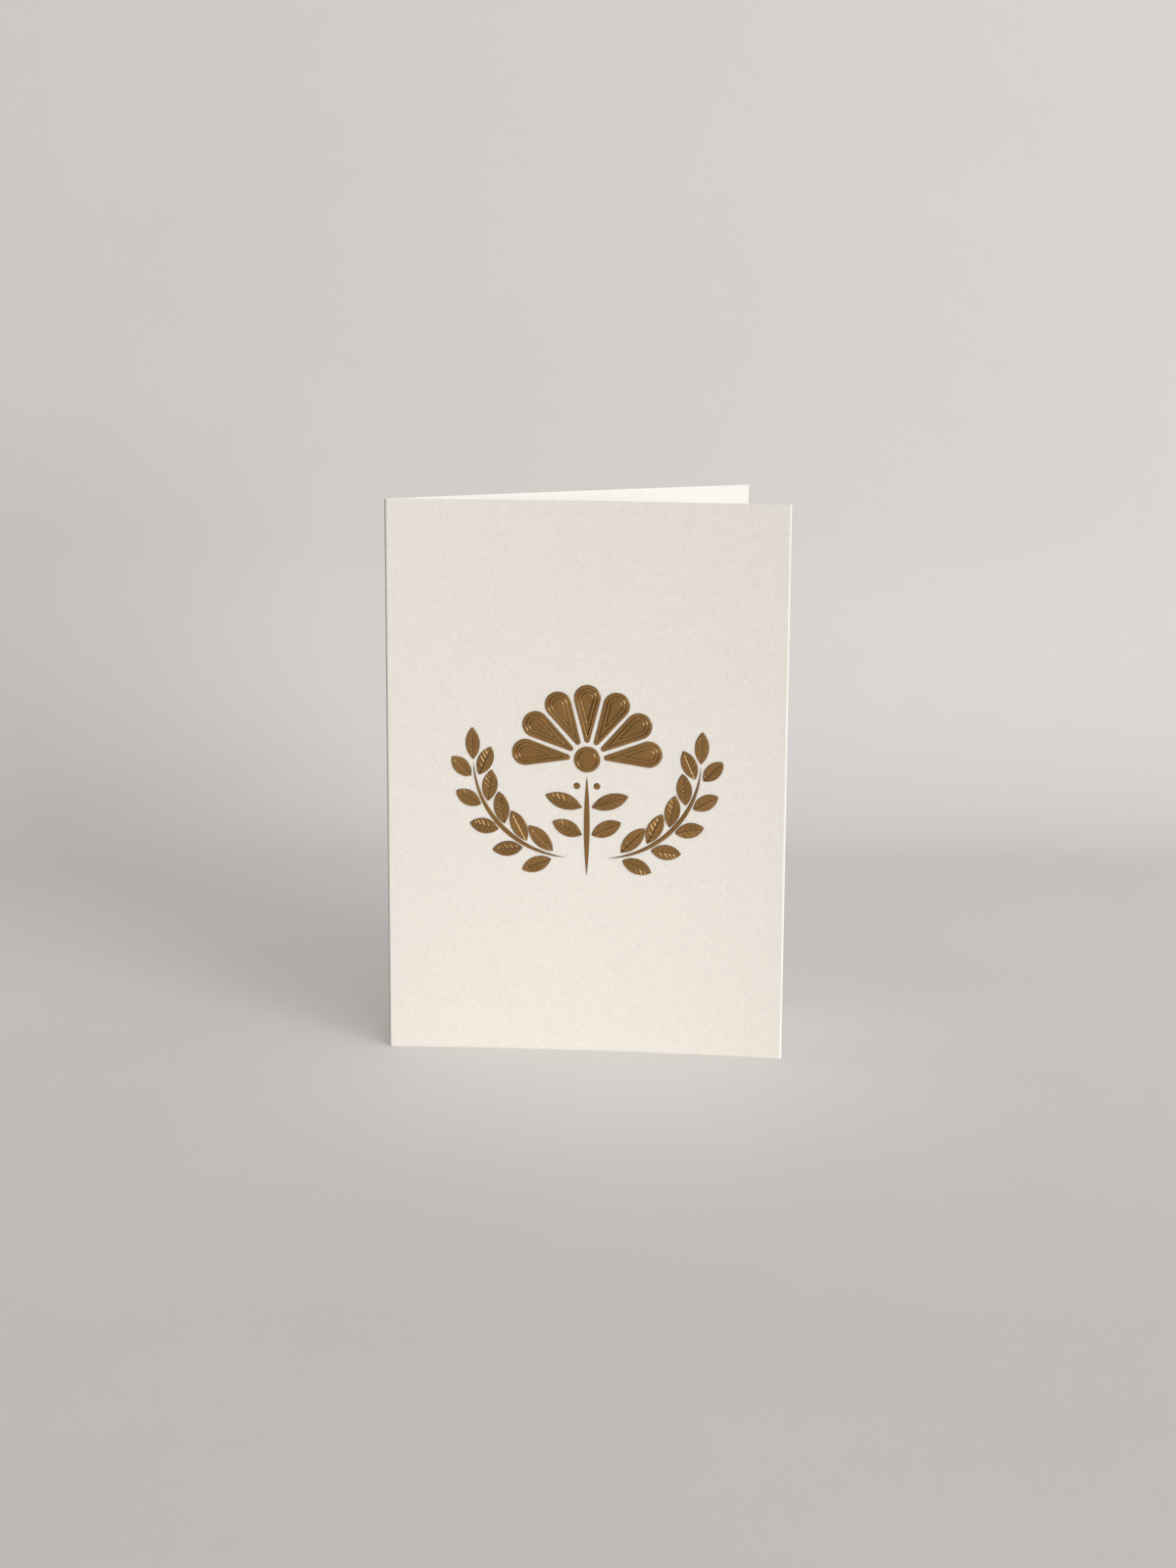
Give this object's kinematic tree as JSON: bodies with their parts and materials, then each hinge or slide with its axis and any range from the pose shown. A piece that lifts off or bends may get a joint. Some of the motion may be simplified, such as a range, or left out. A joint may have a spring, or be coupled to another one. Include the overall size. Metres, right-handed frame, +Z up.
{
  "type": "greeting card",
  "caption": "Folded greeting card standing open in a narrow V, with a raised metallic foil design on its front.",
  "frame": {"origin": "middle of the card's bounding box, on the surface that it stands on", "axes": "+Z up along the fold, the printed front leaf faces -Y, the fold is on the -X side and both leaves run towards +X"},
  "size_m": [0.1264, 0.0628, 0.1778],
  "materials": {
    "board": "matte",
    "foil": "satin"
  },
  "bodies": {
    "root": {"folded_card": "board", "gold_foil": "foil"}
  },
  "joints": []
}
